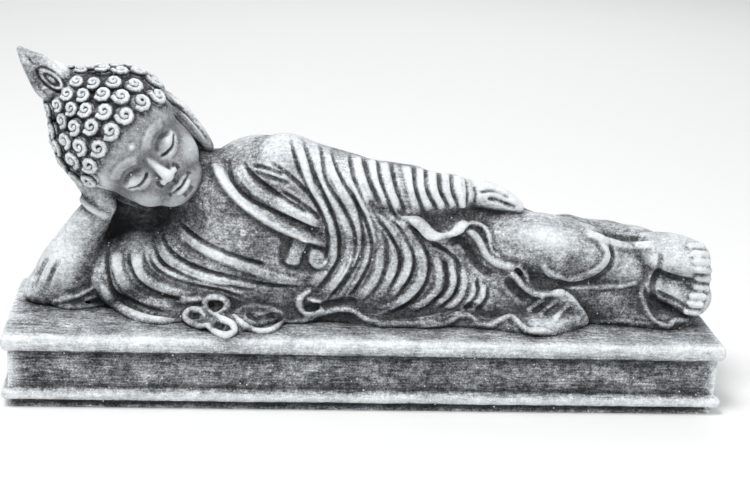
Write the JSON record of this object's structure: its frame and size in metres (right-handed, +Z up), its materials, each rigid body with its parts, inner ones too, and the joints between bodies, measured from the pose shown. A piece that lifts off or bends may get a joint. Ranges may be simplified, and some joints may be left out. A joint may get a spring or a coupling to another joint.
{
  "type": "reclining buddha statue",
  "caption": "Reclining buddha in grey cast stone, head propped on one hand, draped robe, on a long moulded plinth; a garden ornament",
  "frame": {"origin": "middle of the plinth's underside", "axes": "+X from the propping elbow to the feet, -Y towards the carved front that the face looks out of, +Z up"},
  "size_m": [0.455, 0.115, 0.2176],
  "materials": {
    "cast_stone": "matt cast stone, dark wash in the hollows and pale dry-brushed ridges"
  },
  "bodies": {
    "root": {"reclining_buddha": "cast_stone"}
  },
  "joints": []
}
